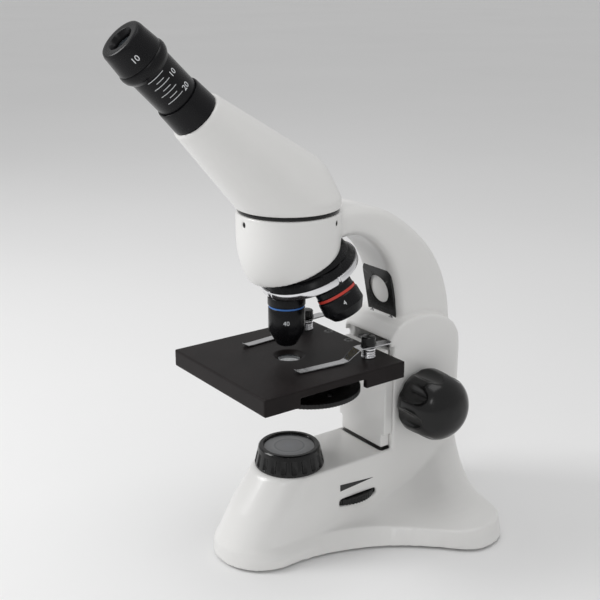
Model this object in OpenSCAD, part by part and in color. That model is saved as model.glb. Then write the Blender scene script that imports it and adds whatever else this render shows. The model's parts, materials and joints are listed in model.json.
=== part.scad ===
// Student microscope with a turning monocular head, a four-place nosepiece,
// rack focusing on the stage, and lamps above and below the specimen.
// The castings are laid out about the optical axis, which runs along Z.

/* [Base] */
// Height of the rubber feet below the casting
foot_height = 1.5; // [1:0.5:3]
// Height of the flat deck above the bottom of the casting
deck_z = 47.5; // [44:0.5:52]
// Half width of the deck
deck_half = 21.3; // [20.5:0.1:22]
// Wall thickness of the castings
wall = 3.2; // [2.5:0.1:4]

/* [Arm] */
// Half width of the curved arm
arm_half = 16.5; // [15:0.5:18]
// Half width of the focus housing at the foot of the arm
housing_half = 21.5; // [21:0.1:23]
// Front face of the focus housing, behind the optical axis
housing_front = 60; // [59.8:0.1:60.5]
// Rear face of the focus housing
housing_rear = 116; // [112:1:118]

/* [Stage] */
// Side of the square stage
stage_size = 91; // [84:1:94]
// Reach of the stage in front of the optical axis
stage_front = 47.4; // [44:0.1:49]
// Reach of the stage behind the optical axis
stage_back = 46; // [44:0.1:47]
// Height of the stage's top above the bottom of the casting
stage_top = 114.1; // [113.5:0.1:114.5]
// Thickness of the stage plate
stage_plate_t = 4.5; // [3.5:0.5:5]
// Depth of the stage's turned-down edge
stage_edge = 9.7; // [8:0.1:10]
// Distance of the clip posts to each side of the middle
clip_x = 29; // [26:1:32]
// Distance of the clip posts behind the optical axis
clip_y = 33.5; // [31:0.5:35]

/* [Nosepiece] */
// Tilt of the turret's axis from vertical
turret_tilt = 21.9; // [20:0.1:23]
// Radius of the chrome grip ring
ring_r = 28.15; // [27:0.05:28.5]
// Number of places in the turret
turret_places = 4; // [4:4]

/* [Head] */
// Inclination of the eyepiece tube
head_tilt = 44.6; // [43:0.1:47]
// Radius of the head at its seam
head_r = 28.5; // [28:0.1:29]
// Height of the seam above the bottom of the casting
seam_z = 197.2; // [196:0.1:198]
// Radius of the draw tube
draw_r = 11.4; // [11.2:0.1:11.6]

/* [Focus drive] */
// Teeth of the focus pinion
pinion_teeth = 12; // [12:12]
// Module of the focus rack and pinion
pinion_module = 0.8; // [0.8:0.1:0.8]
// Height of the focus shaft
shaft_z = 76; // [75:0.5:78]
// Distance of the focus shaft behind the optical axis
shaft_y = 79; // [79:79]
// Radius of a focus knob
knob_r = 20.4; // [18:0.1:21]

/* [Lamps] */
// Radius of the lamp cap at the deck
lamp_r = 20; // [19:0.1:20.5]
// Height of the lamp cap
lamp_h = 12.2; // [11:0.1:14]
// Radius of the frosted window
window_r = 14; // [12:0.5:15]

/* [Hidden] */
$fn = 72;

// Colours
white_paint = [0.88, 0.88, 0.87];
stage_black = [0.13, 0.11, 0.11];
satin_black = [0.07, 0.07, 0.08];
gloss_black = [0.03, 0.03, 0.03];
chrome = [0.75, 0.75, 0.77];
steel = [0.62, 0.62, 0.63];
brass = [0.72, 0.58, 0.28];
glass = [0.75, 0.82, 0.86];
frosted = [0.55, 0.57, 0.6];
rubber = [0.1, 0.1, 0.1];
plastic_grey = [0.25, 0.25, 0.26];
board_green = [0.1, 0.35, 0.2];
band_blue = [0.1, 0.35, 0.75];
band_red = [0.75, 0.12, 0.08];
band_yellow = [0.85, 0.7, 0.1];

// The origin is under the middle of the whole part; the optical axis stands in front of it.
axis_y = -10.5;
// Small step that keeps cuts clear of faces
eps = 0.01;
// Air between parts that slide or turn past each other
air = 0.3;
// Radial clearance of a running fit
fit = 0.05;

module place() {
    translate([0, axis_y, foot_height]) children();
}

// Point on a Catmull-Rom curve through the points p at parameter u, 0 to len(p) - 1
function clampi(i, n) = max(0, min(n - 1, i));
function spline(p, u) =
    let (n = len(p), i = min(floor(u), n - 2), t = u - i,
        a = p[clampi(i - 1, n)], b = p[i], c = p[i + 1], d = p[clampi(i + 2, n)])
    b + 0.5 * t * ((c - a) + t * ((2 * a - 5 * b + 4 * c - d) + t * (3 * b - a - 3 * c + d)));
function curve(p, steps) =
    [for (k = [0 : (len(p) - 1) * steps]) spline(p, k / steps)];

// ---------------------------------------------------------------- base

// Flared rear foot, right side. Each row is one rib: where it leaves the tunnel and how high,
// where the sheet meets the skirt and how high, and the skirt's foot below it.
//          start x, y, z      skirt top x, y, z     skirt foot x, y
flare_ribs = [
    [22, -9, 11, 22.7, -9, 10, 28, -9],
    [22, 5, 11.6, 23.6, 5, 10, 30.2, 5],
    [22, 24, 13, 28.4, 23, 10, 35.6, 21],
    [22, 42, 16, 36.9, 38.6, 10, 41.8, 34],
    [22, 53, 18.3, 44.7, 47.3, 10.2, 48.5, 44.6],
    [22, 62, 20.6, 53.2, 55.2, 10.6, 55.9, 53.8],
    [22, 72, 23.4, 62.5, 62.4, 11.2, 64.2, 62.8],
    [22, 81, 27, 71.1, 70, 12, 72.8, 70.8],
    [22, 88, 30.4, 75.9, 78, 12.8, 78, 78.6],
    [22, 95, 35, 76.8, 88, 13.4, 79, 87.4],
    [21.8, 103, 40, 73.4, 98.6, 13.8, 75, 99.8],
    [20.8, 109.6, 44, 64, 105, 13.8, 65, 107.4],
    [18, 113.6, 46, 48, 109, 13.8, 48.7, 111.8],
    [12, 115.8, 47, 31, 113.6, 13.8, 31.4, 116.6],
    [5.5, 116.4, 47, 15, 118, 13.8, 15.2, 121],
    [0, 116.4, 47, 0, 119.6, 13.8, 0, 122.8]];
// How sharply the sheet of the foot falls away from the tunnel
flare_power = 2.9;
// Points along one rib
rib_steps = 9;

// One rib as a closed loop of points
function rib(r) =
    let (s = [r[0], r[1]], e = [r[3], r[4]],
        inner = [0.35 * s[0], s[1] - 6 * max(0, s[1] - 60) / 54])
    concat(
        [[inner[0], inner[1], r[2]]],
        [for (k = [0 : rib_steps])
            let (t = k / rib_steps, p = s + (e - s) * t)
            [p[0], p[1], r[5] + (r[2] - r[5]) * pow(1 - t, flare_power)]],
        [[r[6], r[7], 0]],
        [[inner[0], inner[1], 0]]);

// Solid through a row of loops that have the same number of points
module loft(loops) {
    n = len(loops[0]);
    m = len(loops);
    sides = [for (i = [0 : m - 2]) for (j = [0 : n - 1])
        let (a = i * n + j, b = i * n + (j + 1) % n, c = a + n, d = b + n)
        each [[a, c, b], [b, c, d]]];
    last = (m - 1) * n;
    start_cap = [for (j = [0 : n - 3]) [n - 1, j, j + 1]];
    end_cap = [for (j = [0 : n - 3]) [last + n - 1, last + j + 1, last + j]];
    polyhedron(concat([for (l = loops) each l]), concat(sides, start_cap, end_cap));
}

// Both feet in one sweep, from the right flank round the back to the left flank
module flare() {
    right = [for (r = curve(flare_ribs, 2)) rib(r)];
    left = [for (k = [len(right) - 2 : -1 : 0]) [for (p = right[k]) [-p[0], p[1], p[2]]]];
    loft(concat(right, left));
}

// Outline of the tunnel at one height: a half round nose with straight sides
module nose_disc(r, yc, z, back, t) {
    translate([0, 0, z]) linear_extrude(t) union() {
        translate([0, yc]) circle(r, $fn = 64);
        translate([-r, yc]) square([2 * r, back - yc]);
    }
}

module tunnel(inset) {
    back = housing_rear - 6;
    hull() {
        nose_disc(22.5 - inset, -24.8, 8, back - inset, 2);
        nose_disc(22.1 - inset, -14.6, 26.7 - inset, back - inset, 0.5);
        nose_disc(deck_half - 0.5 - inset, 0.6, deck_z - 0.5 - inset, back - inset, 0.5);
        nose_disc(deck_half - inset, -1.2, deck_z - 2 - inset, back - inset, 0.5);
    }
}

// Vertical skirt round the nose
module nose_skirt() {
    hull() {
        nose_disc(27.7, -20.2, -0.01, 4, 0.1);
        nose_disc(27.2, -20.4, 5, 4, 0.1);
        nose_disc(22.9, -24.8, 10, 4, 0.1);
    }
}

// Rear of the base below the focus housing
module rear_block() {
    translate([-housing_half, 62, 0]) cube([2 * housing_half, housing_rear - 8 - 62, deck_z]);
    for (sx = [-1, 1]) translate([sx * (housing_half - 8), housing_rear - 8, 0])
        cylinder(r = 8, h = deck_z);
    translate([-(housing_half - 8), 90, 0])
        cube([2 * (housing_half - 8), housing_rear - 90, deck_z]);
}

jack_z = 26;
jack_r = 5.5;
dimmer_y = 34;
dimmer_x = 5;
dimmer_r = 20;
dimmer_z = 21.8;
dimmer_t = 3.6;
well_half = 18.9;
well_front = 53.2;

// Hollow of the base, with the screw posts left standing in it
module base_hollow() {
    difference() {
        union() {
            tunnel(wall);
            translate([0, 0, -1.1]) linear_extrude(12) union() {
                translate([0, -24.8]) circle(19.3);
                translate([-19.3, -24.8]) square([38.6, 118]);
            }
            translate([0, 0, -1]) linear_extrude(4) offset(delta = 0.6) cover_outline();
            translate([0, 0, -1]) linear_extrude(8) offset(delta = -6) cover_outline();
        }
        for (p = cover_screw_places) translate([p[0], p[1], 2.4]) cylinder(r = 4, h = 60);
    }
}

module base_casting() color(white_paint) place() difference() {
    union() {
        tunnel(0);
        nose_skirt();
        flare();
        rear_block();
    }
    base_hollow();
    // seat of the lamp
    translate([0, 0, 40]) cylinder(r = 16, h = 20);
    // well that the carriage sinks into
    translate([-well_half, well_front, 25]) cube([2 * well_half, 23, 40]);
    // slot of the dimmer wheel
    translate([0, dimmer_y - 13.6, dimmer_z - 0.4]) cube([40, 27.2, dimmer_t + 0.8]);
    translate([dimmer_x, dimmer_y, dimmer_z - 0.4]) cylinder(r = dimmer_r + 0.6, h = dimmer_t + 0.8);
    // hole of the power jack
    translate([0, 98, jack_z]) rotate([-90, 0, 0]) cylinder(r = jack_r, h = 30);
    for (p = cover_screw_places) translate([p[0], p[1], -1]) cylinder(r = 1.25, h = 12);
}

cover_screw_places = [[-13, -20], [13, -20], [-13, 98], [13, 98]];

function mirrored(p) = concat(p, [for (k = [len(p) - 1 : -1 : 0]) [-p[k][0], p[k][1]]]);
cover_inset = 5.2;

module cover_outline() {
    half = curve([for (r = flare_ribs)
        let (s = [r[0], r[1]], f = [r[6], r[7]], out = (f - s) / max(1, norm(f - s)))
        f - out * cover_inset], 2);
    polygon(mirrored(concat([[0, -43.6], [9, -41.2], [15.4, -35.4], [18.6, -27], [18.8, -8]],
        [for (p = half) if (p[1] > -8 && p[0] > 1) [p[0], min(p[1], 107)]])));
}

module bottom_cover() color(plastic_grey) place() difference() {
    translate([0, 0, 0.2]) linear_extrude(2) cover_outline();
    for (p = cover_screw_places) translate([p[0], p[1], -1]) cylinder(r = 1.7, h = 5);
    for (p = cover_screw_places) translate([p[0], p[1], 0]) cylinder(r = 3.2, h = 1.2);
}

module cover_screws() color(steel) place()
    for (p = cover_screw_places) translate([p[0], p[1], 0.3]) {
        cylinder(r = 3, h = 0.9);
        cylinder(r = 1.25, h = 10);
    }

foot_places = [[-11, -31], [11, -31], [-62, 86], [62, 86]];

module feet() color(rubber) place()
    for (p = foot_places) translate([p[0], p[1], -foot_height])
        cylinder(r = 6, h = foot_height + 0.2);

// ---------------------------------------------------------------- arm

// Side outline of the focus housing: distance behind the axis, height
housing_side = [
    [56.8, 115.6], [58, 118.2], [63, 123.2], [70, 126.3], [78, 127.3], [86, 127], [94, 125],
    [101.5, 122], [107, 117.6], [111.5, 110.4], [114.4, 101], [116, 90], [116, 47.5], [60, 47.5],
    [60, 112], [56.8, 112]];
// Outer and inner edges of the curved arm, from the collar down to the housing
arm_outer = [[22, 196.2], [32, 196.6], [44, 195.8], [55, 192.8], [66, 187.2], [78, 178.6],
    [89, 168.4], [98, 156.6], [104.6, 143], [108.6, 128], [110.4, 112]];
arm_inner = [[22, 179.6], [33, 180.4], [42.5, 177.5], [51, 171], [58, 162.5], [63, 152],
    [66, 141], [68, 124], [68.6, 112]];
arm_rounds = 4;

module arm_side(d) {
    offset(delta = -d)
        polygon(concat(curve(arm_outer, 3), [for (k = [24 : -1 : 0]) curve(arm_inner, 3)[k]]));
}

// Extrudes a side outline (distance behind the axis, height) to both sides of the middle
module both_sides(half) {
    translate([-half, 0, 0]) rotate([90, 0, 90]) linear_extrude(2 * half) children();
}

module upper_arm() {
    for (k = [0 : arm_rounds])
        let (a = 90 * k / arm_rounds, r = 5)
        both_sides(arm_half - r * (1 - sin(a))) arm_side(r * (1 - cos(a)));
}

module housing_plan(inset) {
    hull() {
        translate([-housing_half + inset, 50]) square([2 * (housing_half - inset), 20]);
        for (sx = [-1, 1])
            translate([sx * (housing_half - 8), housing_rear - 8]) circle(8 - inset, $fn = 48);
    }
}

lamp_plate_tilt = 11.5;
lamp_plate_y = 66.4;
lamp_plate_z = 139;

// Frame of the upper lamp plate: its face looks forward, Z runs up the plate
module lamp_plate_frame() {
    translate([0, lamp_plate_y, lamp_plate_z]) rotate([lamp_plate_tilt, 0, 0]) children();
}

pitch_r = pinion_teeth * pinion_module / 2;
shaft_r = 3;
bush_r = 5.5;
rail_y = 65;

module arm_casting() color(white_paint) place() difference() {
    union() {
        intersection() {
            both_sides(housing_half) polygon(housing_side);
            translate([0, 0, deck_z]) linear_extrude(90) housing_plan(0);
        }
        difference() {
            upper_arm();
            translate([0, 0, 150]) cylinder(r = head_r + eps, h = 60);
        }
    }
    // room for the carriage, the rack and the pinion
    translate([-15.5, 50, deck_z - 1]) cube([31, 38, 111 - deck_z]);
    translate([-15.5, 50, 100]) cube([31, 20, 15.4]);
    // wider mouth in front, where the carriage's cheeks pass under the hood
    translate([-19.5, 50, 100]) cube([39, 10.01, 15.4]);
    // grooves for the guide rails
    translate([-17, rail_y - 2, deck_z - 1]) cube([34, 4, 62]);
    // bushes of the focus shaft
    translate([-30, shaft_y, shaft_z]) rotate([0, 90, 0]) cylinder(r = bush_r, h = 60);
    // pocket for the upper lamp
    lamp_plate_frame() translate([-12.6, 0.3, -20.5]) cube([25.2, 12, 37]);
}

// Profile of the collar: radius, height
collar_profile = [[0, 150], [10, 150.5], [16, 152.6], [20.4, 156.6], [23.8, 162], [26.3, 168.4],
    [27.8, 175.4], [28.5, 184], [28.5, seam_z]];
collar_bore = 20;
seat_start = 30.2;
turret_y = -1.5;
turret_apex = 199.3;

// Frame of the turret: Z runs from the apex down and back along the turret's axis
module turret_frame() {
    translate([0, turret_y, turret_apex]) rotate([180 + turret_tilt, 0, 0]) children();
}

collar_screw_angles = [-92, 30, 148];

module head_collar() color(white_paint) place() difference() {
    rotate_extrude($fn = 120) polygon(concat([[0, seam_z]],
        curve(collar_profile, 4)));
    // slanted mouth for the nosepiece
    turret_frame() translate([-60, -60, seat_start]) cube([120, 120, 60]);
    // hollow
    translate([0, 0, 186]) cylinder(r = collar_bore, h = 30);
    translate([0, 0, 140]) cylinder(r = 12, h = 60);
    turret_frame() translate([0, 0, seat_start - 5]) cylinder(r = 19, h = 20);
    for (a = collar_screw_angles)
        rotate([0, 0, a]) translate([15, 0, 192.6]) rotate([0, 90, 0]) cylinder(r = 1.5, h = 20);
}

module collar_screws() color(gloss_black) place()
    for (a = collar_screw_angles)
        rotate([0, 0, a]) translate([20.4, 0, 192.6]) rotate([0, 90, 0]) difference() {
            cylinder(r = 1.45, h = 7.4);
            translate([0, 0, 6.2]) cylinder(r = 0.7, h = 3, $fn = 6);
        }

// ---------------------------------------------------------------- lower lamp and power

lamp_flutes = 20;

module lamp_cap() color(gloss_black) place() translate([0, 0, deck_z]) difference() {
    union() {
        rotate_extrude($fn = 120) polygon([[14.6, 0], [lamp_r - 0.4, 0], [lamp_r, 0.6], [lamp_r, 2],
            [18.2, 9.6], [17.8, lamp_h - 0.8], [17, lamp_h], [15.2, lamp_h], [14.6, lamp_h - 0.6]]);
        translate([0, 0, -8]) difference() {
            cylinder(r = 15.8, h = 9);
            translate([0, 0, -1]) cylinder(r = 14.6, h = 12);
        }
    }
    for (k = [0 : lamp_flutes - 1])
        rotate([0, 0, (k + 0.5) * 360 / lamp_flutes]) translate([lamp_r + 0.9, 0, 2.2])
            rotate([0, -12, 0]) cylinder(r = 1.9, h = 7.2, $fn = 24);
}

module lamp_window() color(frosted) place() translate([0, 0, deck_z + lamp_h - 3.4])
    cylinder(r = window_r + 0.5, h = 2.2);

module lamp_board() color(board_green) place() {
    translate([0, 0, deck_z - 9.6]) cylinder(r = 15.6, h = 1.6);
    translate([0, 0, deck_z - 8]) cylinder(r = 2.5, h = 3);
    translate([0, 0, deck_z - 5]) sphere(r = 2.5, $fn = 32);
}

module dimmer_wheel() color(gloss_black) place() translate([dimmer_x, dimmer_y, dimmer_z])
    difference() {
        cylinder(r = dimmer_r, h = dimmer_t);
        for (k = [0 : 59])
            rotate([0, 0, k * 6]) translate([dimmer_r + 0.3, 0, -1]) cylinder(r = 0.7, h = 6, $fn = 16);
        translate([0, 0, -1]) cylinder(r = 2.5 + fit, h = 6);
    }

module dimmer_pot() color(steel) place() translate([dimmer_x, dimmer_y, 0]) {
    translate([0, 0, 10]) cylinder(r = 7, h = dimmer_z - 10 - 0.8);
    translate([0, 0, 12]) cylinder(r = 2.5, h = 18);
    translate([-3, -6, 2.4]) cube([6, 12, 8]);
}

module brightness_mark() color(gloss_black) place()
    translate([deck_half + 0.3, 20.6, 33.2]) rotate([90, 0, 90])
        linear_extrude(0.5) polygon([[0, -1.6], [0, 2.4], [25, 0.2]]);

module power_jack() color(gloss_black) place() translate([0, 0, jack_z]) rotate([-90, 0, 0])
    difference() {
        translate([0, 0, 100]) cylinder(r = jack_r, h = 18.4);
        translate([0, 0, 106]) cylinder(r = 2.75, h = 20);
    }

// ---------------------------------------------------------------- upper lamp

lamp_x_tilt = 22;

// Frame of the upper reflector: Z runs along its beam, towards the specimen
module beam_frame() {
    translate([0, lamp_plate_y + 1.2, lamp_plate_z + 3.2]) rotate([90 + lamp_x_tilt, 0, 0]) children();
}

module upper_lamp_plate() color(gloss_black) place() difference() {
    union() {
        lamp_plate_frame() translate([0, 0.3, 0]) rotate([90, 0, 0]) difference() {
            linear_extrude(1.6) hull() {
                translate([-12.4, -20.5]) square([24.8, 30]);
                translate([-6.4, 12]) circle(6, $fn = 32);
                translate([6.4, 12]) circle(6, $fn = 32);
            }
            for (sx = [-1, 1]) translate([sx * 8.5, -14.5, -1]) cylinder(r = 1.2, h = 5);
        }
        beam_frame() translate([0, 0, -6]) cylinder(r = 10, h = 6.6);
    }
    beam_frame() translate([0, 0, -5]) cylinder(r = 8.5, h = 10);
}

module upper_lamp_reflector() color(chrome) place() beam_frame() difference() {
    translate([0, 0, -4.9]) cylinder(r = 8.4, h = 5.2);
    translate([0, 0, -3.6]) cylinder(r1 = 3, r2 = 8, h = 4.4);
    translate([0, 0, -8]) cylinder(r = 2.6, h = 8);
}

module upper_lamp_led() color(frosted) place() beam_frame() {
    translate([0, 0, -4.8]) cylinder(r = 2.5, h = 2.8);
    translate([0, 0, -2]) sphere(r = 2.5, $fn = 32);
}

module plate_screws() color(steel) place() lamp_plate_frame() for (sx = [-1, 1])
    translate([sx * 8.5, 0.3, -14.5]) rotate([90, 0, 0]) {
        translate([0, 0, 1.6]) cylinder(r = 1.9, h = 0.9);
        translate([0, 0, -1]) cylinder(r = 1.2, h = 3);
    }

// ---------------------------------------------------------------- nosepiece

module nosepiece_seat() color(satin_black) place() turret_frame() difference() {
    union() {
        translate([0, 0, seat_start - 4.9]) cylinder(r = 18.9, h = 5);
        translate([0, 0, seat_start + 0.1]) cylinder(r1 = 22.5, r2 = 24.6, h = 3.4);
    }
    light_hole(9, 20, 24);
    translate([0, 0, 20]) cylinder(r = 3.2, h = 30);
}

// Hole along the light path, from s = a for a length h
module light_hole(r, a, h) {
    rotate([-turret_tilt, 0, 0]) translate([0, 0, a]) cylinder(r = r, h = h);
}

module click_spring() color(steel) place() turret_frame() rotate([0, 0, 90])
    translate([22.6, -2.5, 33.4]) cube([3.4, 5, 0.5]);

module turret_screw() color(steel) place() turret_frame() {
    translate([0, 0, 26]) cylinder(r = 3, h = 22);
    translate([0, 0, 47.2]) cylinder(r = 5, h = 2);
}

turret_top = 34.2;

// One place of the turret, number k, with its objective frame: Z runs out of the objective
module at_place(k) {
    turret_frame() rotate([0, 0, k * 360 / turret_places]) rotate([-turret_tilt, 0, 0]) children();
}

seat_z = 45.2;

module turret() color(satin_black) place() difference() {
    union() {
        turret_frame() rotate_extrude($fn = 120) polygon([[0, turret_top], [23.4, turret_top],
            [24.8, turret_top + 0.6], [27.2, 38.2], [27.2, 42.2], [25.6, 43.6], [12, 46.6],
            [0, 46.9]]);
        for (k = [0 : turret_places - 1]) at_place(k) translate([0, 0, 36.5])
            cylinder(r = 11, h = seat_z - 36.5);
    }
    turret_frame() translate([0, 0, turret_top - 30]) cylinder(r = 60, h = 30);
    for (k = [0 : turret_places - 1]) at_place(k) translate([0, 0, 20]) cylinder(r = 8, h = 40);
    turret_frame() translate([0, 0, 20]) cylinder(r = 3 + fit, h = 40);
}

module turret_ring() color(chrome) place() turret_frame() difference() {
    translate([0, 0, 38.2]) cylinder(r = ring_r, h = 3.7, $fn = 144);
    translate([0, 0, 38]) cylinder(r = 27.2, h = 6, $fn = 144);
    for (k = [0 : turret_places - 1]) rotate([0, 0, k * 360 / turret_places])
        translate([0, ring_r + 0.2, 37]) cylinder(r = 0.9, h = 6, $fn = 24);
}

// Objective barrel from a profile of radius and distance from the apex, with a light bore
module objective(profile, bore, tip) {
    difference() {
        rotate_extrude() polygon(concat([[0, objective_start]], profile, [[0, tip]]));
        translate([0, 0, 30]) cylinder(r = bore, h = tip - 30 - 6);
        translate([0, 0, tip - 2.6]) cylinder(r1 = 2, r2 = 4, h = 2.7);
        translate([0, 0, tip - 8]) cylinder(r = 2, h = 10);
    }
}

objective_thread_r = 7.9;
objective_start = 41;
objective_neck_r = 9.4;
neck_end = 48.8;

module objective_40() color(satin_black) place() at_place(0) difference() {
    objective([[objective_thread_r, objective_start], [objective_thread_r, seat_z + 0.1],
        [objective_neck_r, seat_z + 0.1], [objective_neck_r, neck_end], [10.5, 50],
        [10.5, 54.4], [10, 54.9], [10, 55.8],
        [10.2, 56.2], [10.2, 69.6], [5.6, 77.4], [4.8, 78]], 6, 78);
    translate([0, 0, 54.9]) difference() {
        cylinder(r = 12, h = 0.9);
        translate([0, 0, -1]) cylinder(r = 9.6, h = 3);
    }
}

module objective_10() color(satin_black) place() at_place(1) difference() {
    objective([[objective_thread_r, objective_start], [objective_thread_r, seat_z + 0.1],
        [objective_neck_r, seat_z + 0.1], [objective_neck_r, neck_end], [10.8, 50],
        [10.8, 53.4], [10.9, 56], [11, 64], [6.4, 71.4], [5.6, 72]], 6, 72);
    translate([0, 0, 53.6]) difference() {
        cylinder(r = 12, h = 1.3);
        translate([0, 0, -1]) cylinder(r = 10.4, h = 4);
    }
}

module objective_4() color(satin_black) place() at_place(3) difference() {
    objective([[objective_thread_r, objective_start], [objective_thread_r, seat_z + 0.1],
        [objective_neck_r, seat_z + 0.1], [objective_neck_r, neck_end], [10.8, 50],
        [10.8, 53], [11.2, 53.2], [11.2, 55.2],
        [11.8, 55.8], [12, 62.6], [8.8, 67.4], [7.6, 68]], 6, 68);
    translate([0, 0, 53.4]) difference() {
        cylinder(r = 14, h = 1.5);
        translate([0, 0, -1]) cylinder(r = 10.6, h = 4);
    }
}

module band(inner, outer, start, h) {
    translate([0, 0, start]) difference() {
        cylinder(r = outer, h = h);
        translate([0, 0, -1]) cylinder(r = inner, h = h + 2);
    }
}

module objective_bands() place() {
    color(band_blue) at_place(0) band(9.6, 10, 54.9, 0.9);
    color(band_yellow) at_place(1) band(10.4, 10.85, 53.6, 1.3);
    color(band_red) at_place(3) band(10.6, 11.2, 53.4, 1.5);
}

module front_lenses() color(glass) place() {
    at_place(0) translate([0, 0, 72]) cylinder(r = 1.95, h = 3.4);
    at_place(1) translate([0, 0, 66]) cylinder(r = 1.95, h = 3.4);
    at_place(3) translate([0, 0, 62]) cylinder(r = 1.95, h = 3.4);
}

module turret_plug() color(satin_black) place() at_place(2) {
    translate([0, 0, objective_start]) cylinder(r = objective_thread_r, h = seat_z - 40.9);
    translate([0, 0, seat_z + 0.1]) cylinder(r = objective_neck_r, h = 2.4);
    translate([0, 0, seat_z + 2.5]) cylinder(r1 = objective_neck_r, r2 = 8.6, h = 0.8);
}

// ---------------------------------------------------------------- head

dovetail_t = 2;
head_base = seam_z + dovetail_t;
tube_end = 79;
tube_end_r = 14.4;

// Frame of the eyepiece tube: Z runs up and forward along it from the optical axis
module tube_frame() {
    translate([0, 0, seam_z]) rotate([90 - head_tilt, 0, 0]) children();
}

module head_body() color(white_paint) place() difference() {
    hull() {
        translate([0, 0, head_base]) cylinder(r = head_r, h = 5, $fn = 96);
        translate([0, 2.6, head_base + 8.6]) sphere(r = 22, $fn = 64);
        tube_frame() translate([0, 0, tube_end - 2]) cylinder(r = tube_end_r, h = 1.4, $fn = 64);
        tube_frame() translate([0, 0, tube_end - 2]) cylinder(r = tube_end_r - 0.6, h = 2, $fn = 64);
    }
    // flat seat on the dovetail ring
    translate([-60, -60, head_base - 60]) cube([120, 120, 60]);
    translate([0, 0, head_base - 1]) cylinder(r = 17, h = 18);
    tube_frame() translate([0, 0, 8]) cylinder(r = 12.2, h = 90);
}

module head_dovetail() color(gloss_black) place() difference() {
    union() {
        translate([0, 0, seam_z + 0.25]) cylinder(r = head_r - 1, h = dovetail_t - 0.25);
        translate([0, 0, 187]) rotate_extrude() polygon([[0, 0], [19.9, 0], [19.9, 3.4], [18.4, 5.6],
            [19.9, 7.8], [19.95, seam_z - 187 + 1], [0, seam_z - 187 + 1]]);
    }
    translate([0, 0, 180]) cylinder(r = 13, h = 40);
}

module head_prism() color(glass) place() difference() {
    translate([-10, -10, head_base]) cube([20, 20, 15]);
    translate([-20, 10, head_base + 12]) rotate([-22.5, 0, 0]) translate([0, -40, 0]) cube([40, 60, 30]);
}

socket_len = 13;

module eyepiece_socket() color(satin_black) place() tube_frame() difference() {
    union() {
        translate([0, 0, tube_end - 16]) cylinder(r = 12.15, h = 16.1);
        translate([0, 0, tube_end + 0.02]) rotate_extrude() polygon([[0, 0], [13, 0], [13, 1.2],
            [12.4, socket_len - 1], [12.2, socket_len], [0, socket_len]]);
    }
    translate([0, 0, 40]) cylinder(r = draw_r + fit, h = 90);
}

draw_end = 112.4;
flange_end = 119.4;
draw_bore = 9.85;

module draw_tube() color(satin_black) place() tube_frame() difference() {
    rotate_extrude() polygon([[0, 68.4], [draw_r, 68.4], [draw_r, draw_end], [12.2, draw_end + 1.2],
        [13, draw_end + 2.6], [13.4, draw_end + 4.4], [13.3, draw_end + 6], [12.6, flange_end],
        [0, flange_end]]);
    translate([0, 0, 60]) cylinder(r = draw_bore, h = 90);
}

eye_end = 132.8;

module eyepiece() color(satin_black) place() tube_frame() difference() {
    union() {
        translate([0, 0, 84]) cylinder(r = draw_bore - fit, h = flange_end - 83.8);
        translate([0, 0, flange_end + 0.2]) rotate_extrude() polygon([[0, 0], [12.7, 0], [12.7, 0.8],
            [11.6, 11.4], [11, 12.8], [10, eye_end - flange_end - 0.2], [7, eye_end - flange_end - 0.4],
            [0, eye_end - flange_end - 0.6]]);
    }
    translate([0, 0, 70]) cylinder(r = 8, h = 54);
    translate([0, 0, 100]) cylinder(r = 5.2, h = 40);
    translate([0, 0, eye_end - 3.2]) cylinder(r1 = 5.2, r2 = 7, h = 3.4);
}

module eye_lens() color(glass) place() tube_frame() translate([0, 0, eye_end - 7])
    cylinder(r = 5.1, h = 3.2);

module field_lens() color(glass) place() tube_frame() translate([0, 0, 87])
    cylinder(r = 7.9, h = 3);

// ---------------------------------------------------------------- focus drive

carriage_front = 53.5;
carriage_bottom = 49;
carriage_top = stage_top - stage_edge;
rack_back = shaft_y - pitch_r;
rack_base = 3.2;
addendum = 0.75 * pinion_module;
dedendum = 1.1 * pinion_module;
pressure = 25;
backlash = 0.16;

module focus_carriage() color(white_paint) place() difference() {
    union() {
        // front block, narrow below and wide above
        translate([-18.5, carriage_front, carriage_bottom])
            cube([37, housing_front - air - carriage_front, 12]);
        translate([-21.2, carriage_front, 57.5])
            cube([42.4, housing_front - air - carriage_front, carriage_top - 57.5 - 0.2]);
        // stem inside the housing
        translate([-15.2, 58, carriage_bottom])
            cube([30.4, rack_back - rack_base - 58, carriage_top - carriage_bottom - 0.2]);
        // tongue under the stage
        translate([-18, 25, stage_top - stage_plate_t - 6]) cube([36, 33, 6]);
    }
    for (sx = [-1, 1])
        translate([sx * 14 - 1.9, rail_y - 2.2, 40]) cube([3.8, 4.4, 80]);
    translate([5, carriage_front - 1, 92]) rotate([-90, 0, 0]) cylinder(r = 1.6, h = 8);
    // room for the diaphragm disc under the tongue
    translate([diaphragm_x, 0, 90]) cylinder(r = disc_r + 1, h = 14.4);
}

// Rack teeth are straight-sided; the pitch line is at the origin, teeth point along +X
module rack_profile(count) {
    p = PI * pinion_module;
    w = p / 2 - backlash;
    a = addendum * tan(pressure);
    d = dedendum * tan(pressure);
    polygon(concat([[-rack_base, 0]], [for (k = [0 : count - 1]) let (c = k * p + p / 2)
        each [[-dedendum, c - w / 2 - d], [addendum, c - w / 2 + a],
            [addendum, c + w / 2 - a], [-dedendum, c + w / 2 + d]]], [[-rack_base, count * p]]));
}

rack_teeth = 20;

// A gap of the rack stands level with the shaft at rest
module focus_rack() color(brass) place()
    translate([-6.5, rack_back, shaft_z - 10 * PI * pinion_module]) rotate([90, 0, 90])
        linear_extrude(13) rack_profile(rack_teeth);

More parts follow.
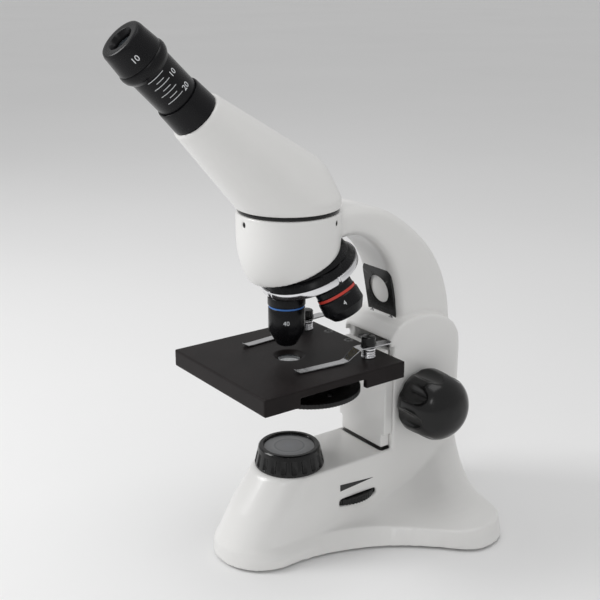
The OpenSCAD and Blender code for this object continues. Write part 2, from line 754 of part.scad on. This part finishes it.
module carriage_screw() color(steel) place() translate([5, carriage_front, 92]) rotate([90, 0, 0])
    difference() {
        union() {
            cylinder(r = 2.7, h = 1.2);
            translate([0, 0, -6]) cylinder(r = 1.55, h = 7);
        }
        translate([-4, -0.4, 0.6]) cube([8, 0.8, 2]);
    }

module guide_rails() color(steel) place() for (sx = [-1, 1])
    translate([sx * 14.7 - 2.3, rail_y - 2, deck_z + 0.5]) cube([4.6, 4, 60.4]);

// Involute from the base circle at roll angle a (degrees), as a point
function involute(rb, a) =
    [rb * (cos(a) + a * PI / 180 * sin(a)), rb * (sin(a) - a * PI / 180 * cos(a))];
function turn(p, a) = [p[0] * cos(a) - p[1] * sin(a), p[0] * sin(a) + p[1] * cos(a)];
function roll_at(rb, r) = sqrt(max(0, r * r / (rb * rb) - 1)) * 180 / PI;

module pinion_profile() {
    rb = pitch_r * cos(pressure);
    ro = pitch_r + addendum;
    rr = pitch_r - dedendum;
    at_pitch = roll_at(rb, pitch_r);
    q = involute(rb, at_pitch);
    half = 90 / pinion_teeth - backlash / 2 / pitch_r * 180 / PI;
    off = atan2(q[1], q[0]) + half;
    flank = [for (k = [0 : 5]) turn(involute(rb, roll_at(rb, ro) * k / 5), -off)];
    tooth = concat([turn([rr, 0], -off)], flank, [for (k = [5 : -1 : 0]) [flank[k][0], -flank[k][1]]],
        [turn([rr, 0], off)]);
    polygon([for (k = [0 : pinion_teeth - 1]) each [for (p = tooth) turn(p, k * 360 / pinion_teeth)]]);
}

shaft_end = 44;

module pinion_shaft() color(steel) place() translate([0, shaft_y, shaft_z]) rotate([0, 90, 0]) {
    translate([0, 0, -shaft_end]) cylinder(r = shaft_r, h = 2 * shaft_end);
    // a tooth points at the rack, which stands in front of the shaft
    translate([0, 0, -8]) rotate([0, 0, -90]) linear_extrude(16) pinion_profile();
    for (sx = [-1, 1]) translate([0, 0, sx * 12 - 2]) cylinder(r = 4.6, h = 4);
}

module shaft_bushes() color(brass) place() for (sx = [-1, 1])
    translate([sx * 18.5 - 2.9, shaft_y, shaft_z]) rotate([0, 90, 0]) difference() {
        cylinder(r = bush_r, h = 5.8);
        translate([0, 0, -1]) cylinder(r = shaft_r + fit, h = 8);
    }

module knob_washers() color(gloss_black) place() for (sx = [-1, 1])
    translate([sx * 22.6 - 0.6, shaft_y, shaft_z]) rotate([0, 90, 0]) difference() {
        cylinder(r = 14, h = 1.2);
        translate([0, 0, -1]) cylinder(r = shaft_r, h = 4);
    }

knob_start = 23.4;
knob_len = 31;
knob_dimples = 8;

module knob() {
    difference() {
        translate([knob_start, 0, 0]) rotate([0, 90, 0]) rotate_extrude($fn = 96)
            polygon(curve([[0, 0], [16.6, 0], [19, 1.6], [knob_r, 5.5], [knob_r, 12.5], [19.5, 18.5],
                [16.8, 24], [11.6, 28.6], [4.6, knob_len - 0.3], [0, knob_len]], 3));
        for (k = [0 : knob_dimples - 1]) rotate([k * 360 / knob_dimples + 12, 0, 0])
            translate([knob_start - 1, 0, knob_r + 6.6]) rotate([0, 90, 0])
                cylinder(r = 9, h = knob_len + 2);
        translate([knob_start - 1, 0, 0]) rotate([0, 90, 0])
            cylinder(r = shaft_r, h = shaft_end - knob_start + 1.01);
    }
}

module knob_right() color(gloss_black) place() translate([0, shaft_y, shaft_z]) knob();
module knob_left() color(gloss_black) place() translate([0, shaft_y, shaft_z])
    mirror([1, 0, 0]) knob();

// ---------------------------------------------------------------- stage

diaphragm_x = 18.8;
disc_r = 28.4;
disc_z = 100;
disc_t = 2.6;
stage_hole = 6.2;
stage_half = stage_size / 2;
stage_screw_places = [[-19, 42.6], [0, 42.6], [19, 42.6]];

module stage_plate() color(stage_black) place() difference() {
    translate([-stage_half, -stage_front, stage_top - stage_edge])
        cube([stage_size, stage_front + stage_back, stage_edge]);
    // hollow under the plate
    translate([-stage_half + 3, -stage_front + 3, stage_top - stage_edge - 1])
        cube([stage_size - 6, stage_front + stage_back - 6, stage_edge - stage_plate_t + 1]);
    // gap in the right edge for a finger on the diaphragm
    translate([stage_half - 4, -25, stage_top - stage_edge - 1])
        cube([8, 44, stage_edge - stage_plate_t + 1]);
    // gap in the rear edge for the carriage
    translate([-19.5, stage_back - 4, stage_top - stage_edge - 1])
        cube([39, 8, stage_edge - stage_plate_t + 1]);
    translate([0, 0, 100]) cylinder(r = stage_hole, h = 20);
    translate([0, 0, stage_top - 2.2]) cylinder(r1 = stage_hole, r2 = 9, h = 2.3);
    for (p = stage_screw_places) translate([p[0], p[1], 100]) cylinder(r = 1.3, h = 20);
    for (p = stage_screw_places) translate([p[0], p[1], stage_top - 1.5])
        cylinder(r1 = 1.3, r2 = 2.9, h = 1.51);
    for (sx = [-1, 1]) translate([sx * clip_x, clip_y, 100]) cylinder(r = 1.9, h = 20);
    translate([diaphragm_x, 0, 100]) cylinder(r = 1.5, h = stage_top - 101.2);
}

module stage_glass() color(glass) place() translate([0, 0, stage_top - 3.6])
    cylinder(r = stage_hole - 0.02, h = 1.6);

module stage_screws() color(gloss_black) place() for (p = stage_screw_places)
    translate([p[0], p[1], stage_top - 4.4]) difference() {
        union() {
            cylinder(r = 1.25, h = 3.4);
            translate([0, 0, 2.9]) cylinder(r1 = 1.2, r2 = 2.75, h = 1.4);
        }
        translate([-1.8, -0.3, 3.6]) cube([3.6, 0.6, 2]);
        translate([-0.3, -1.8, 3.6]) cube([0.6, 3.6, 2]);
    }

hole_sizes = [4.5, 3.5, 2.5, 1.75, 1.25, 0.75];

module diaphragm_disc() color(gloss_black) place() translate([diaphragm_x, 0, disc_z]) difference() {
    cylinder(r = disc_r, h = disc_t, $fn = 144);
    translate([0, 0, -1]) cylinder(r = 2 + fit, h = 6);
    for (k = [0 : len(hole_sizes) - 1])
        rotate([0, 0, 180 + k * 360 / len(hole_sizes)]) translate([diaphragm_x, 0, -1])
            cylinder(r = hole_sizes[k], h = 6, $fn = 48);
    for (k = [0 : 89]) rotate([0, 0, k * 4]) translate([disc_r + 0.35, 0, -1])
        cylinder(r = 0.75, h = 6, $fn = 16);
}

module diaphragm_screw() color(steel) place() translate([diaphragm_x, 0, 0]) {
    translate([0, 0, disc_z - 1.6]) cylinder(r = 4, h = 1.4);
    translate([0, 0, disc_z - 1]) cylinder(r = 2, h = 4.4);
    translate([0, 0, disc_z + disc_t + 0.25])
        cylinder(r = 4, h = stage_top - stage_plate_t - disc_z - disc_t - 0.25);
    translate([0, 0, 104]) cylinder(r = 1.5, h = 8.8);
}

clip_t = 0.8;
clip_level = stage_top + 6.4;
// Side view of a clip: distance behind the axis and height of its lower face
clip_path = [[48.5, clip_level - 0.2], [28, clip_level], [25.5, clip_level - 0.4],
    [18.6, stage_top + 0.9], [16, stage_top + 0.35], [-8, stage_top + 0.3], [-12, stage_top + 0.5],
    [-14.5, stage_top + 1.9]];

module clip() {
    difference() {
        intersection() {
            translate([-20, 0, 0]) rotate([90, 0, 90]) linear_extrude(40)
                polygon(concat(clip_path,
                    [for (k = [len(clip_path) - 1 : -1 : 0]) clip_path[k] + [0, clip_t]]));
            translate([0, 0, 100]) linear_extrude(40) polygon([[-3.2, 46], [-1.6, 48.2], [1.6, 48.2],
                [3.2, 46], [3.4, 26], [2.5, 16], [2.3, -12], [1.1, -14.2], [-1.1, -14.2],
                [-2.3, -12], [-2.5, 16], [-3.4, 26]]);
        }
        translate([0, clip_y, 100]) cylinder(r = 1.8 + fit, h = 60);
    }
}

clip_toe = 4.6;

// The clips are turned a little inwards about their posts
module clip_right() color(steel) place() translate([clip_x, clip_y, 0]) rotate([0, 0, -clip_toe])
    translate([0, -clip_y, 0]) clip();
module clip_left() color(steel) place() mirror([1, 0, 0]) translate([clip_x, clip_y, 0])
    rotate([0, 0, -clip_toe]) translate([0, -clip_y, 0]) clip();

module clip_caps() color(gloss_black) place() for (sx = [-1, 1])
    translate([sx * clip_x, clip_y, 0]) {
        translate([0, 0, stage_top - stage_plate_t - 2]) cylinder(r = 3.4, h = 1.9);
        translate([0, 0, stage_top - stage_plate_t - 1]) cylinder(r = 1.8, h = 13.6);
        translate([0, 0, clip_level + clip_t + 0.2]) rotate_extrude() polygon([[0, 0], [4.4, 0],
            [4.4, 1.4], [4, 1.8], [4, 4.6], [3.4, 5.2], [0, 5.4]]);
    }

module clip_springs() color(chrome) place() for (sx = [-1, 1])
    translate([sx * clip_x, clip_y, stage_top + 0.02]) difference() {
        rotate_extrude() polygon([[0, 0], [4.1, 0], [4.1, 1.2], [3.3, 1.6], [4, 2.2], [3.3, 2.8],
            [4, 3.4], [3.3, 4], [4, 4.6], [4, 6.1], [0, 6.1]]);
        translate([0, 0, -1]) cylinder(r = 1.85, h = 9);
    }

base_casting();
bottom_cover();
cover_screws();
feet();
arm_casting();
head_collar();
collar_screws();
lamp_cap();
lamp_window();
lamp_board();
dimmer_wheel();
dimmer_pot();
brightness_mark();
power_jack();
upper_lamp_plate();
upper_lamp_reflector();
upper_lamp_led();
plate_screws();
nosepiece_seat();
click_spring();
turret_screw();
turret();
turret_ring();
objective_40();
objective_10();
objective_4();
objective_bands();
front_lenses();
turret_plug();
head_body();
head_dovetail();
head_prism();
eyepiece_socket();
draw_tube();
eyepiece();
eye_lens();
field_lens();
focus_carriage();
focus_rack();
carriage_screw();
guide_rails();
pinion_shaft();
shaft_bushes();
knob_washers();
knob_right();
knob_left();
stage_plate();
stage_glass();
stage_screws();
diaphragm_disc();
diaphragm_screw();
clip_right();
clip_left();
clip_caps();
clip_springs();
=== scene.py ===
"""Looks of a student microscope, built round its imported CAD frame. Lengths are in metres."""

import json
import math

import bpy
from mathutils import Matrix, Vector

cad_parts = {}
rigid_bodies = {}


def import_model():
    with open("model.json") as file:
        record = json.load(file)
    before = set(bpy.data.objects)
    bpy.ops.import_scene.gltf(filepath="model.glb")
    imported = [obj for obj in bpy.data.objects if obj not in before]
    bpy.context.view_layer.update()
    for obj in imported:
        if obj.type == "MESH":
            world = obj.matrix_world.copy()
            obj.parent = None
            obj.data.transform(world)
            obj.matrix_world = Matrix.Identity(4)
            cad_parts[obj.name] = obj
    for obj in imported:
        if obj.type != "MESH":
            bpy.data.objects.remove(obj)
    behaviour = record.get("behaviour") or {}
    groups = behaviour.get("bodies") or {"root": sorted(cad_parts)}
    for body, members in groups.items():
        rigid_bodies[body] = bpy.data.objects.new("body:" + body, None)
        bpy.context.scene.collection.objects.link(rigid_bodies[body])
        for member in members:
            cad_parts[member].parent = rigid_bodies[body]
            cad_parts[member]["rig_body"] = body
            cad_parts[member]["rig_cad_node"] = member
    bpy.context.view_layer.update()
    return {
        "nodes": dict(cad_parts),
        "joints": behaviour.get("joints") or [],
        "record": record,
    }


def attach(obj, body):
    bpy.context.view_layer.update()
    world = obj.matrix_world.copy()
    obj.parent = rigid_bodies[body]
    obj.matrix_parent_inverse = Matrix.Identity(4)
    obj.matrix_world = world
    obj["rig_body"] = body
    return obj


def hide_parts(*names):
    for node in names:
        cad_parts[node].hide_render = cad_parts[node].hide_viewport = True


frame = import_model()
nodes = frame["nodes"]

MM = 0.001

# Places taken from the frame's joints
JOINTS = {joint["name"]: joint for joint in frame["joints"]}
AXIS_Y = JOINTS["head_turn"]["pos_m"][1]
SEAM = Vector(JOINTS["head_turn"]["pos_m"])
TUBE = Vector(JOINTS["drawtube_slide"]["axis"]).normalized()
APEX = Vector(JOINTS["nosepiece_turn"]["pos_m"])
NOSEPIECE_AXIS = Vector(JOINTS["nosepiece_turn"]["axis"])


# ---------------------------------------------------------------- materials

TONE_SPREAD = (0.3, 0.7)      # share of the noise over which the dark tone turns into the light one
ROUGH_SPREAD = (0.85, 1.15)   # how far the grain moves the roughness
GRAIN_DEPTH = 0.0002
COAT_ROUGHNESS = 0.08


def add_noise(tree, coords, scale, detail):
    noise = tree.nodes.new("ShaderNodeTexNoise")
    noise.inputs["Scale"].default_value = scale
    noise.inputs["Detail"].default_value = detail
    tree.links.new(coords, noise.inputs["Vector"])
    return noise.outputs[0]


def add_ramp(tree, value, stops):
    """A colour ramp with two or more stops, each a place and a colour."""
    ramp = tree.nodes.new("ShaderNodeValToRGB")
    elements = ramp.color_ramp.elements
    for element, (place, colour) in zip((elements[0], elements[1]), (stops[0], stops[-1])):
        element.position = place
        element.color = (*colour, 1)
    for place, colour in stops[1:-1]:
        elements.new(place).color = (*colour, 1)
    tree.links.new(value, ramp.inputs["Fac"])
    return ramp.outputs[0]


def add_vector_math(tree, operation, value, operand=None):
    node = tree.nodes.new("ShaderNodeVectorMath")
    node.operation = operation
    if operand:
        node.inputs[1].default_value = operand
    tree.links.new(value, node.inputs[0])
    return node


def surface(name, dark, light, rough, metal=0.0, coat=0.0, grain=900.0, bump=0.05, blotch=35.0,
            stretch=None, specular=0.5, alpha=1.0):
    """A finish whose colour wanders between two tones, with a fine grain in its roughness and relief."""
    mat = bpy.data.materials.new(name)
    mat.use_nodes = True
    tree = mat.node_tree
    bsdf = tree.nodes["Principled BSDF"]
    coords = tree.nodes.new("ShaderNodeTexCoord").outputs["Object"]
    fine_coords = coords
    if stretch:
        mapping = tree.nodes.new("ShaderNodeMapping")
        mapping.inputs["Scale"].default_value = stretch
        tree.links.new(coords, mapping.inputs["Vector"])
        fine_coords = mapping.outputs[0]
    tone = add_ramp(tree, add_noise(tree, coords, blotch, 3.0), list(zip(TONE_SPREAD, (dark, light))))
    tree.links.new(tone, bsdf.inputs["Base Color"])
    fine = add_noise(tree, fine_coords, grain, 4.0)
    spread = tree.nodes.new("ShaderNodeMapRange")
    spread.inputs["To Min"].default_value = rough * ROUGH_SPREAD[0]
    spread.inputs["To Max"].default_value = rough * ROUGH_SPREAD[1]
    tree.links.new(fine, spread.inputs["Value"])
    tree.links.new(spread.outputs[0], bsdf.inputs["Roughness"])
    relief = tree.nodes.new("ShaderNodeBump")
    relief.inputs["Strength"].default_value = bump
    relief.inputs["Distance"].default_value = GRAIN_DEPTH
    tree.links.new(fine, relief.inputs["Height"])
    tree.links.new(relief.outputs[0], bsdf.inputs["Normal"])
    bsdf.inputs["Metallic"].default_value = metal
    bsdf.inputs["Specular IOR Level"].default_value = specular
    bsdf.inputs["Coat Weight"].default_value = coat
    bsdf.inputs["Coat Roughness"].default_value = COAT_ROUGHNESS
    bsdf.inputs["Alpha"].default_value = alpha
    return mat


def cool_grey(tone):
    return tone, tone * 1.04, tone * 1.1


WINDOW_R = 0.015
# Tones of the lamp window from its middle out, with the faint ring of the lens below it
WINDOW_TONES = [(0.0, (0.17, 0.18, 0.2)), (0.5, cool_grey(0.14)), (0.56, cool_grey(0.09)),
                (0.62, cool_grey(0.16)), (0.8, cool_grey(0.11)), (1.0, (0.06, 0.065, 0.07))]


def window_glass():
    """Grey frosted glass whose tone follows the distance from the optical axis."""
    mat = surface("window_glass", (0.16, 0.17, 0.19), (0.2, 0.21, 0.23), 0.22, coat=0.6, grain=2500)
    tree = mat.node_tree
    coords = tree.nodes.new("ShaderNodeTexCoord").outputs["Object"]
    from_axis = add_vector_math(tree, "SUBTRACT", coords, (0, AXIS_Y, 0))
    flat = add_vector_math(tree, "MULTIPLY", from_axis.outputs[0], (1, 1, 0))
    radius = add_vector_math(tree, "LENGTH", flat.outputs[0])
    share = tree.nodes.new("ShaderNodeMath")
    share.operation = "DIVIDE"
    share.inputs[1].default_value = WINDOW_R
    tree.links.new(radius.outputs["Value"], share.inputs[0])
    ring = add_ramp(tree, share.outputs[0], WINDOW_TONES)
    tree.links.new(ring, tree.nodes["Principled BSDF"].inputs["Base Color"])
    return mat


FINISHES = {
    "white_paint": dict(dark=(0.8, 0.795, 0.78), light=(0.83, 0.825, 0.81), rough=0.3, coat=0.25,
                        grain=1400, bump=0.03, blotch=18),
    "satin_black": dict(dark=(0.004, 0.004, 0.005), light=(0.007, 0.007, 0.008), rough=0.27,
                        grain=2200, specular=0.2),
    "gloss_black": dict(dark=(0.004, 0.004, 0.004), light=(0.007, 0.007, 0.007), rough=0.2, coat=0.1,
                        grain=700, bump=0.04, specular=0.3),
    "stage_paint": dict(dark=(0.009, 0.007, 0.007), light=(0.014, 0.011, 0.011), rough=0.46,
                        grain=2600, bump=0.18, blotch=60, specular=0.14),
    "chrome": dict(dark=(0.72, 0.72, 0.74), light=(0.8, 0.8, 0.82), rough=0.14, metal=1.0,
                   grain=1500, bump=0.03),
    # Painted reflection: the reflector bowl's metal colour swings between dark and bright blotches that
    # stand in for the streaked reflections in the shiny bowl.
    "bowl_painted_reflection": dict(dark=(0.12, 0.12, 0.13), light=(0.75, 0.75, 0.78), rough=0.1, metal=1.0,
                        grain=1200, bump=0.1, blotch=170),
    "steel": dict(dark=(0.5, 0.5, 0.51), light=(0.62, 0.62, 0.63), rough=0.26, metal=1.0,
                  grain=1800, bump=0.06, stretch=(1, 0.08, 1)),
    "brass": dict(dark=(0.6, 0.43, 0.17), light=(0.7, 0.52, 0.24), rough=0.3, metal=1.0),
    "glass": dict(dark=(0.05, 0.06, 0.07), light=(0.07, 0.08, 0.09), rough=0.05, coat=0.5, alpha=0.5),
    "circuit_board": dict(dark=(0.03, 0.16, 0.06), light=(0.05, 0.22, 0.09), rough=0.4),
    "rubber": dict(dark=(0.02, 0.02, 0.02), light=(0.032, 0.031, 0.03), rough=0.75, bump=0.2),
    "grey_plastic": dict(dark=(0.06, 0.06, 0.063), light=(0.08, 0.08, 0.083), rough=0.5),
    "mark": dict(dark=(0.02, 0.02, 0.02), light=(0.03, 0.03, 0.03), rough=0.5),
    "band_blue": dict(dark=(0.02, 0.12, 0.42), light=(0.03, 0.16, 0.5), rough=0.35),
    "band_red": dict(dark=(0.5, 0.03, 0.02), light=(0.6, 0.05, 0.03), rough=0.35),
    "band_yellow": dict(dark=(0.7, 0.5, 0.03), light=(0.8, 0.6, 0.05), rough=0.35),
    "white_ink": dict(dark=(0.7, 0.72, 0.74), light=(0.8, 0.82, 0.84), rough=0.5, bump=0.02),
    "led": dict(dark=(0.7, 0.72, 0.6), light=(0.8, 0.82, 0.7), rough=0.2, coat=0.5),
}
MATERIALS = {name: surface(name, **finish) for name, finish in FINISHES.items()}
MATERIALS["frosted"] = window_glass()
# CAD nodes whose finish isn't the one named after their slot
SPECIAL_LOOKS = {"upper_lamp_led": "led", "objective_bands": "band_blue", "stage_screws": "gloss_black",
                 "upper_lamp_reflector": "bowl_painted_reflection"}


def dress(obj, material):
    """Gives a piece its finish."""
    obj.data.materials.clear()
    obj.data.materials.append(MATERIALS[material])
    for poly in obj.data.polygons:
        poly.material_index = 0


# ---------------------------------------------------------------- CAD nodes and castings

WELD_GAP = 0.000005
EDGE_ROUNDING = 0.00018
SHARP_ANGLE = math.radians(32)
SMOOTHING = 0.6
# Name, CAD nodes it stands for, voxel, rounds of smoothing, body, slot
CASTINGS = [
    ("stand_casting", ["base_casting", "arm_casting", "head_collar"], 0.0008, 9, "stand", "white_paint"),
    ("head_casting", ["head_body"], 0.0008, 14, "head", "white_paint"),
    ("carriage_casting", ["focus_carriage"], 0.0005, 8, "stage", "white_paint"),
    ("stage_casting", ["stage_plate"], 0.0005, 8, "stage", "stage_paint"),
    ("grip_right", ["knob_right"], 0.0005, 10, "focus_knobs", "gloss_black"),
    ("grip_left", ["knob_left"], 0.0005, 10, "focus_knobs", "gloss_black"),
]


def add_weld(obj):
    """Joins the seams of an imported mesh."""
    obj.modifiers.new("weld", "WELD").merge_threshold = WELD_GAP


def free_copy(node):
    """A copy of a CAD node that belongs to no body yet."""
    copy = node.copy()
    copy.data = node.data.copy()
    copy.parent = None
    copy.matrix_world = Matrix.Identity(4)
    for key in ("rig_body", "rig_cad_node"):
        if key in copy:
            del copy[key]
    bpy.context.scene.collection.objects.link(copy)
    return copy


def cast_copy(name, sources, voxel, rounds, body, slot):
    """One smooth cast piece made from CAD nodes, with the soft fillets of a casting."""
    copies = [free_copy(nodes[source]) for source in sources]
    piece = copies[0]
    bpy.ops.object.select_all(action="DESELECT")
    for copy in copies:
        copy.select_set(True)
    bpy.context.view_layer.objects.active = piece
    if len(copies) > 1:
        bpy.ops.object.join()
    piece.name = name
    add_weld(piece)
    remesh = piece.modifiers.new("remesh", "REMESH")
    remesh.mode = "VOXEL"
    remesh.voxel_size = voxel
    smooth = piece.modifiers.new("smooth", "SMOOTH")
    smooth.factor = SMOOTHING
    smooth.iterations = rounds
    for step in ("weld", "remesh", "smooth"):
        bpy.ops.object.modifier_apply(modifier=step)
    bpy.ops.object.shade_smooth()
    dress(piece, slot)
    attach(piece, body)
    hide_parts(*sources)


def dress_nodes():
    """Finishes for all CAD nodes, and slightly rounded edges for those that still show."""
    slots = {part["node"]: part["material_slot"] for part in frame["record"]["subparts"]}
    for name, obj in nodes.items():
        dress(obj, SPECIAL_LOOKS.get(name, slots[name]))
        if not obj.hide_render:
            add_weld(obj)
            bevel = obj.modifiers.new("bevel", "BEVEL")
            bevel.width = EDGE_ROUNDING
            bevel.segments = 2
            bevel.limit_method = "ANGLE"
            bevel.angle_limit = SHARP_ANGLE


# ---------------------------------------------------------------- printed marks

INK_THICKNESS = 0.00004
DIGIT_LIFT = 0.13 * MM    # how far printed digits stand off the surface below them
STRIP_STEP = 0.06         # angle that one face of a strip may span

# Scale of the draw tube: where it starts round the tube, and its strokes
DRAW_TUBE_R = 11.4 * MM
SCALE_START = math.radians(-44.5)
LONG_STROKE = math.radians(47.5)
SHORT_STROKE = math.radians(23.5)
SHORT_STROKE_PLACE = 0.3       # start of the short strokes, as a share of the long ones
SHORT_STROKE_RISE = 2.2 * MM
STROKE_COUNT = 4
STROKE_HALF_WIDTH = 0.14 * MM
STROKE_LIFT = 0.06 * MM
SCALE_NUMBER_GAP = math.radians(15)
# Numbers of the scale and the stroke that each belongs to, counted from the top
SCALE_NUMBERS = (("10", 1), ("20", 3))
TUBE_DIGIT_HEIGHT = 4.2 * MM

# Number on the eyepiece's cap, whose side narrows upwards
CAP_R = 12.19 * MM
CAP_TAPER = -0.104
CAP_NUMBER_PLACE = 125.3 * MM
CAP_NUMBER_ANGLE = math.radians(-24)

# Objective rings: finish, place in the nosepiece, radius, start and end along the axis in mm
RINGS = [("band_blue", 0, 10.0, 54.9, 55.8), ("band_yellow", 1, 10.9, 53.6, 54.9),
         ("band_red", 3, 11.22, 53.4, 54.9)]
RING_LIFT = 0.03
# Objective numbers: digits, place in the nosepiece, radius and distance along the axis in mm, degrees
POWERS = [("40", 0, 10.2, 63.0, 36), ("4", 3, 11.95, 59.2, 20)]
POWER_HEIGHT = 3.6 * MM


def frame_about(axis, origin):
    """Right-handed directions (u, v, axis) about an axis, with u as near +X as it can be, and the origin."""
    across = Vector((1, 0, 0))
    u = (across - axis * across.dot(axis)).normalized()
    v = axis.cross(u).normalized()
    return u, v, axis, origin


def on_cylinder(base, radius, angle, along):
    """Point at an angle round an axis and a distance along it."""
    u, v, axis, origin = base
    return origin + axis * along + (u * math.cos(angle) + v * math.sin(angle)) * radius


def ink_piece(name, mesh, body, material):
    """A thin printed piece from an open mesh."""
    obj = bpy.data.objects.new(name, mesh)
    bpy.context.scene.collection.objects.link(obj)
    obj.modifiers.new("thickness", "SOLIDIFY").thickness = INK_THICKNESS
    dress(obj, material)
    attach(obj, body)
    return obj


def strips_on(name, rows, base, radius, body, material):
    """Strips wrapped on a cylinder: each row is start angle, end angle, lower and upper distance."""
    verts, faces = [], []
    for start, end, low, high in rows:
        steps = max(2, int(abs(end - start) / STRIP_STEP))
        first = len(verts)
        for k in range(steps + 1):
            angle = start + (end - start) * k / steps
            verts.append(tuple(on_cylinder(base, radius, angle, low)))
            verts.append(tuple(on_cylinder(base, radius, angle, high)))
        for k in range(steps):
            a = first + 2 * k
            faces.append((a, a + 2, a + 3, a + 1))
    mesh = bpy.data.meshes.new(name)
    mesh.from_pydata(verts, [], faces)
    mesh.update()
    return ink_piece(name, mesh, body, material)


def number_on(name, digits, base, radius, angle, along, height, body, down=False, taper=0.0):
    """Digits wrapped on a cylinder, their tops towards +axis, or towards -axis with down set."""
    font = bpy.data.curves.new(name, "FONT")
    font.body = digits
    font.size = height
    font.align_x = "CENTER"
    font.align_y = "CENTER"
    font.resolution_u = 3
    flat = bpy.data.objects.new(name, font)
    bpy.context.scene.collection.objects.link(flat)
    bpy.context.view_layer.update()
    mesh = bpy.data.meshes.new_from_object(flat.evaluated_get(bpy.context.evaluated_depsgraph_get()))
    bpy.data.objects.remove(flat)
    sign = -1 if down else 1
    for vertex in mesh.vertices:
        x, y = sign * vertex.co.x, sign * vertex.co.y
        vertex.co = on_cylinder(base, radius + taper * y, angle + x / radius, along + y)
    ink_piece(name, mesh, body, "white_ink")


def stroke_place(k):
    """Distance of a long stroke from the seam along the tube, counted from the top."""
    return (111.8 - 4.75 * k) * MM


def build_tube_marks():
    tube = frame_about(TUBE, SEAM)
    long_rows, short_rows = [], []
    for k in range(STROKE_COUNT):
        along = stroke_place(k)
        long_rows.append((SCALE_START, SCALE_START + LONG_STROKE,
                          along - STROKE_HALF_WIDTH, along + STROKE_HALF_WIDTH))
        start = SCALE_START + SHORT_STROKE_PLACE * LONG_STROKE
        above = along + SHORT_STROKE_RISE
        short_rows.append((start, start + SHORT_STROKE,
                           above - STROKE_HALF_WIDTH, above + STROKE_HALF_WIDTH))
    strips_on("tube_scale", long_rows + short_rows, tube, DRAW_TUBE_R + STROKE_LIFT, "drawtube",
              "white_ink")
    for digits, k in SCALE_NUMBERS:
        number_on("scale_" + digits, digits, tube, DRAW_TUBE_R + DIGIT_LIFT,
                  SCALE_START + LONG_STROKE + SCALE_NUMBER_GAP, stroke_place(k), TUBE_DIGIT_HEIGHT,
                  "drawtube")
    number_on("eyepiece_power", "10", tube, CAP_R + DIGIT_LIFT, CAP_NUMBER_ANGLE, CAP_NUMBER_PLACE,
              TUBE_DIGIT_HEIGHT, "eyepiece", taper=CAP_TAPER)


def about_objective(place):
    """Frame about an objective, from the apex down: the places follow each other by a quarter turn."""
    turn = Matrix.Rotation(place * math.pi / 2, 3, NOSEPIECE_AXIS)
    return frame_about(turn @ Vector((0, 0, -1)), APEX)


def build_objective_marks():
    for finish, place, radius, low, high in RINGS:
        ring = strips_on("ring_" + finish, [(0, 2 * math.pi, low * MM, high * MM)], about_objective(place),
                         (radius + RING_LIFT) * MM, "nosepiece", finish)
        if finish == "band_blue":
            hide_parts("objective_bands")
    for digits, place, radius, along, angle in POWERS:
        number_on("magnification_" + digits, digits, about_objective(place), radius * MM + DIGIT_LIFT,
                  math.radians(angle), along * MM, POWER_HEIGHT, "nosepiece", down=True)


# ---------------------------------------------------------------- studio

CAMERA_AZIMUTH = math.radians(53.902)
CAMERA_HEIGHT = math.radians(17.92)
CAMERA_DISTANCE = 0.582033
LENS_MM = 62.91
SENSOR_MM = 36
TARGET = Vector((0, AXIS_Y + 0.007649, 0.1465))
WORLD_LIGHT = 0.55
FLOOR_SIZE = 80
# Name, place, size and power of each softbox
SOFTBOXES = [("key", (-0.55, -0.75, 0.8), (0.45, 0.45), 5.6),
             ("top", (0.1, 0.0, 1.2), (0.6, 0.6), 2.2),
             ("side", (0.75, -0.75, 0.75), (0.16, 0.3), 0.7)]


def aim(obj, place):
    """Stands a camera or light in its place, turned to the target."""
    obj.location = place
    obj.rotation_euler = (TARGET - obj.location).to_track_quat("-Z", "Y").to_euler()
    bpy.context.scene.collection.objects.link(obj)


def build_camera():
    data = bpy.data.cameras.new("camera")
    data.sensor_width = SENSOR_MM
    data.lens = LENS_MM
    data.clip_start = 0.01
    camera = bpy.data.objects.new("camera", data)
    back = Vector((math.sin(CAMERA_AZIMUTH) * math.cos(CAMERA_HEIGHT),
                   -math.cos(CAMERA_AZIMUTH) * math.cos(CAMERA_HEIGHT), math.sin(CAMERA_HEIGHT)))
    aim(camera, TARGET + back * CAMERA_DISTANCE)
    bpy.context.scene.camera = camera


def softbox(name, place, size, power):
    data = bpy.data.lights.new(name, "AREA")
    data.shape = "RECTANGLE"
    data.size, data.size_y = size
    data.energy = power
    aim(bpy.data.objects.new(name, data), place)


def build_studio():
    """Soft, nearly shadowless light over a pale floor."""
    world = bpy.data.worlds.new("studio")
    world.use_nodes = True
    background = world.node_tree.nodes["Background"]
    background.inputs["Color"].default_value = (1, 1, 1, 1)
    background.inputs["Strength"].default_value = WORLD_LIGHT
    bpy.context.scene.world = world
    bpy.ops.mesh.primitive_plane_add(size=FLOOR_SIZE, location=(0, 0, 0))
    floor = bpy.context.object
    floor.name = "floor"
    floor.data.materials.append(surface("floor_paper", (0.86, 0.86, 0.86), (0.88, 0.88, 0.88), 0.8,
                                        grain=200, bump=0.0, blotch=2))
    for box in SOFTBOXES:
        softbox(*box)
    bpy.context.scene.view_settings.view_transform = "Standard"
    bpy.context.scene.view_settings.look = "None"


for casting in CASTINGS:
    cast_copy(*casting)
build_tube_marks()
build_objective_marks()
dress_nodes()
build_camera()
build_studio()
